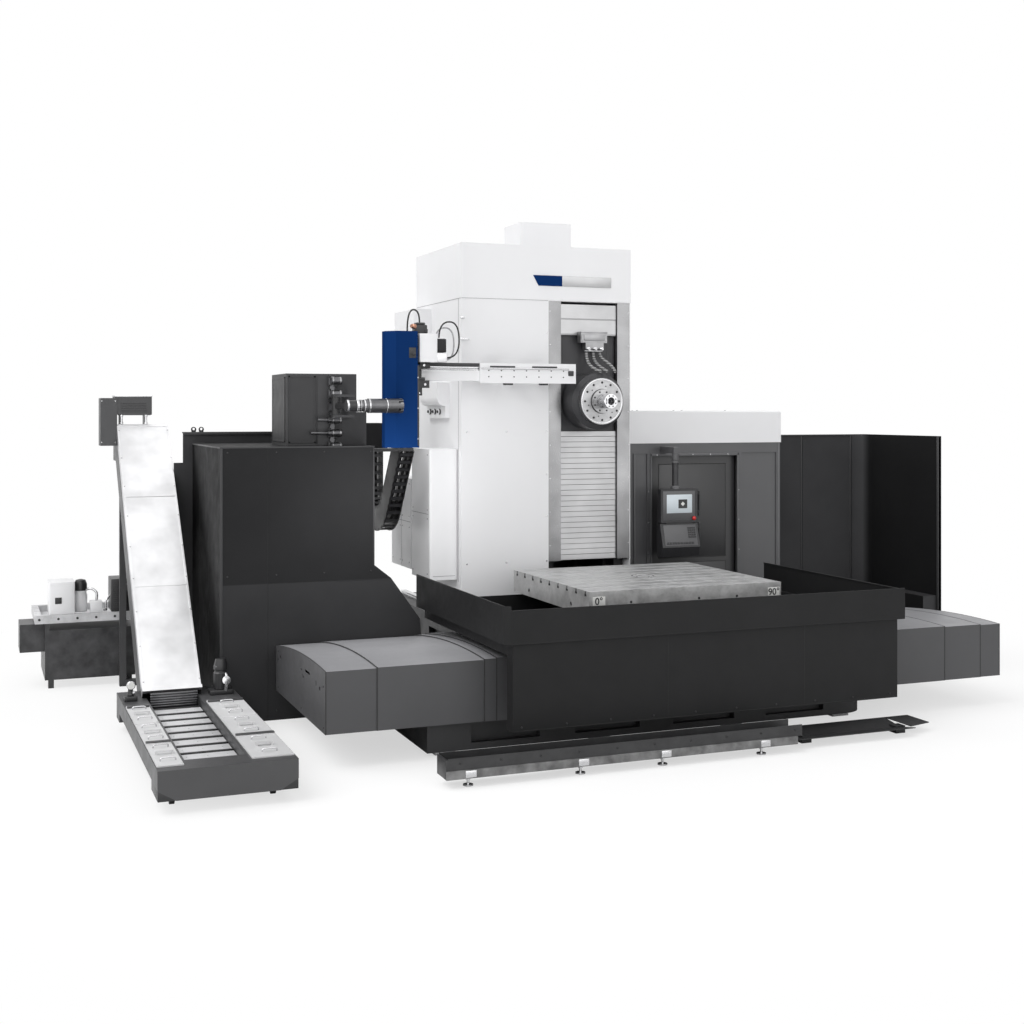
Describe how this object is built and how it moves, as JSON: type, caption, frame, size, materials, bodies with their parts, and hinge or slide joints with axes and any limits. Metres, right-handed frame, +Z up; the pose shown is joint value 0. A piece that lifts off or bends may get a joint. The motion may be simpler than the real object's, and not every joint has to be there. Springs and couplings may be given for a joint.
{
  "type": "horizontal boring and machining center",
  "caption": "Floor-standing horizontal boring mill: moving T-slot rotary table in a splash tray, white travelling column, tool changer, magazine, cabin and chip conveyor.",
  "frame": {"origin": "middle of the machine's floor area, on the floor", "axes": "+X is the table travel to the right as the operator faces the spindle, +Y points away from the table side along the column travel, +Z is up"},
  "size_m": [8.588, 5.527, 4.372],
  "materials": {
    "white_paint": "semi-gloss white powder coat",
    "dark_enclosure_paint": "fine-textured charcoal powder coat",
    "grey_cover_paint": "satin dark grey paint",
    "blue_paint": "satin deep blue paint",
    "black_cast": "painted casting",
    "ground_cast_iron": "planed and ground, light tool marks",
    "ground_steel": "ground bright",
    "stainless_sheet": "brushed along its length",
    "head_paint": "satin grey",
    "atc_paint": "satin white and black",
    "black_rubber": "matte",
    "black_plastic": "matte",
    "red_plastic": "glossy",
    "pump_paint": "satin black",
    "gutter_steel": "worn dark sheet"
  },
  "bodies": {
    "base": {"bed_x": "black_cast", "bed_z": "black_cast", "cabin_frame": "grey_cover_paint", "cabin_panels": "grey_cover_paint", "cabin_roof": "white_paint", "cable_carrier": "black_plastic", "chip_belt": "stainless_sheet", "chip_trough": "stainless_sheet", "conveyor_body": "grey_cover_paint", "conveyor_covers": "stainless_sheet", "coolant_tank": "grey_cover_paint", "drip_gutter": "gutter_steel", "guide_rails": "ground_steel", "levelling_feet": "black_cast", "loading_box": "dark_enclosure_paint", "magazine_housing": "dark_enclosure_paint", "oil_tank": "dark_enclosure_paint", "oil_unit_pumps": "white_paint", "standing_walls": "dark_enclosure_paint", "tank_lids": "stainless_sheet", "tank_pumps": "pump_paint", "tool_chain": "ground_steel", "way_cover_left_1": "grey_cover_paint", "way_cover_right_1": "grey_cover_paint", "z_bellows": "black_rubber"},
    "x_carriage": {"x_saddle": "black_cast", "splash_tray": "dark_enclosure_paint", "way_cover_left_4": "grey_cover_paint", "way_cover_right_4": "grey_cover_paint"},
    "table": {"rotary_table": "ground_cast_iron"},
    "cover_left_2": {"way_cover_left_2": "grey_cover_paint"},
    "cover_left_3": {"way_cover_left_3": "grey_cover_paint"},
    "cover_right_2": {"way_cover_right_2": "grey_cover_paint"},
    "cover_right_3": {"way_cover_right_3": "grey_cover_paint"},
    "column": {"column_casting": "white_paint", "column_cover": "white_paint", "slot_strips": "stainless_sheet", "column_top_housing": "white_paint", "column_cabinets": "white_paint", "lower_slat_cover": "stainless_sheet", "upper_slat_cover": "stainless_sheet", "atc_rail": "white_paint"},
    "head": {"headstock": "head_paint", "spindle_flange": "ground_steel", "coolant_manifold": "stainless_sheet", "coolant_hoses": "black_rubber"},
    "sleeve": {"spindle_sleeve": "ground_steel"},
    "quill": {"boring_spindle": "ground_steel"},
    "changer": {"atc_carriage": "atc_paint", "atc_hood": "blue_paint", "atc_cables": "black_plastic"},
    "tool_arm": {"transfer_arm": "dark_enclosure_paint", "staged_tool": "ground_steel"},
    "door": {"cabin_door": "grey_cover_paint"},
    "pendant": {"control_pendant": "black_plastic"},
    "stop": {"stop_button": "red_plastic"},
    "wheel_1": {"tank_wheel_1": "black_rubber"},
    "wheel_2": {"tank_wheel_2": "black_rubber"},
    "wheel_3": {"tank_wheel_3": "black_rubber"},
    "wheel_4": {"tank_wheel_4": "black_rubber"}
  },
  "joints": [
    {"name": "x_travel", "type": "slide", "parent": "base", "child": "x_carriage", "axis": [1, 0, 0], "range_m": [-1, 1]},
    {"name": "table_rotation", "type": "hinge", "parent": "x_carriage", "child": "table", "pos_m": [0.62, -1.15, 1], "axis": [0, 0, 1], "continuous": true},
    {"name": "cover_left_2_slide", "type": "slide", "parent": "base", "child": "cover_left_2", "axis": [1, 0, 0], "range_m": [-0.35, 0.35]},
    {"name": "cover_left_3_slide", "type": "slide", "parent": "base", "child": "cover_left_3", "axis": [1, 0, 0], "range_m": [-0.7, 0.7]},
    {"name": "cover_right_2_slide", "type": "slide", "parent": "base", "child": "cover_right_2", "axis": [1, 0, 0], "range_m": [-0.16, 0.16]},
    {"name": "cover_right_3_slide", "type": "slide", "parent": "base", "child": "cover_right_3", "axis": [1, 0, 0], "range_m": [-0.56, 0.56]},
    {"name": "z_travel", "type": "slide", "parent": "base", "child": "column", "axis": [0, 1, 0], "range_m": [0, 1.4], "deforming": ["z_bellows"]},
    {"name": "y_travel", "type": "slide", "parent": "column", "child": "head", "axis": [0, 0, 1], "range_m": [-1.15, 0.25], "deforming": ["lower_slat_cover", "upper_slat_cover"]},
    {"name": "spindle_rotation", "type": "hinge", "parent": "head", "child": "sleeve", "pos_m": [0.65, -0.28, 2.685], "axis": [0, -1, 0], "continuous": true},
    {"name": "w_travel", "type": "slide", "parent": "sleeve", "child": "quill", "axis": [0, -1, 0], "range_m": [-0.15, 0.5]},
    {"name": "changer_travel", "type": "slide", "parent": "column", "child": "changer", "axis": [1, 0, 0], "range_m": [0, 1.45]},
    {"name": "tool_arm_swing", "type": "hinge", "parent": "base", "child": "tool_arm", "pos_m": [-1.79, -0.07, 2.64], "axis": [0, 0, 1], "range_deg": [-90, 0]},
    {"name": "door_slide", "type": "slide", "parent": "base", "child": "door", "axis": [1, 0, 0], "range_m": [-0.29, 0.4]},
    {"name": "pendant_swivel", "type": "hinge", "parent": "base", "child": "pendant", "pos_m": [1.623, 0.122, 2.12], "axis": [0, 0, 1], "range_deg": [-45, 45]},
    {"name": "stop_press", "type": "slide", "parent": "pendant", "child": "stop", "axis": [0, 1, 0], "range_m": [0, 0.006], "stiffness_N_per_m": 800, "springref_m": -0.002},
    {"name": "wheel_1_spin", "type": "hinge", "parent": "base", "child": "wheel_1", "pos_m": [-3.5, -2.405, 0.041], "axis": [1, 0, 0], "continuous": true},
    {"name": "wheel_2_spin", "type": "hinge", "parent": "base", "child": "wheel_2", "pos_m": [-3.5, -0.31, 0.041], "axis": [1, 0, 0], "continuous": true},
    {"name": "wheel_3_spin", "type": "hinge", "parent": "base", "child": "wheel_3", "pos_m": [-2.827, -2.405, 0.041], "axis": [1, 0, 0], "continuous": true},
    {"name": "wheel_4_spin", "type": "hinge", "parent": "base", "child": "wheel_4", "pos_m": [-2.827, -0.31, 0.041], "axis": [1, 0, 0], "continuous": true}
  ],
  "couplings": [
    {"joint": "cover_left_2_slide", "follows": "x_travel", "ratio": 0.33333},
    {"joint": "cover_left_3_slide", "follows": "x_travel", "ratio": 0.66667},
    {"joint": "cover_right_2_slide", "follows": "x_travel", "ratio": 0.15},
    {"joint": "cover_right_3_slide", "follows": "x_travel", "ratio": 0.55}
  ]
}
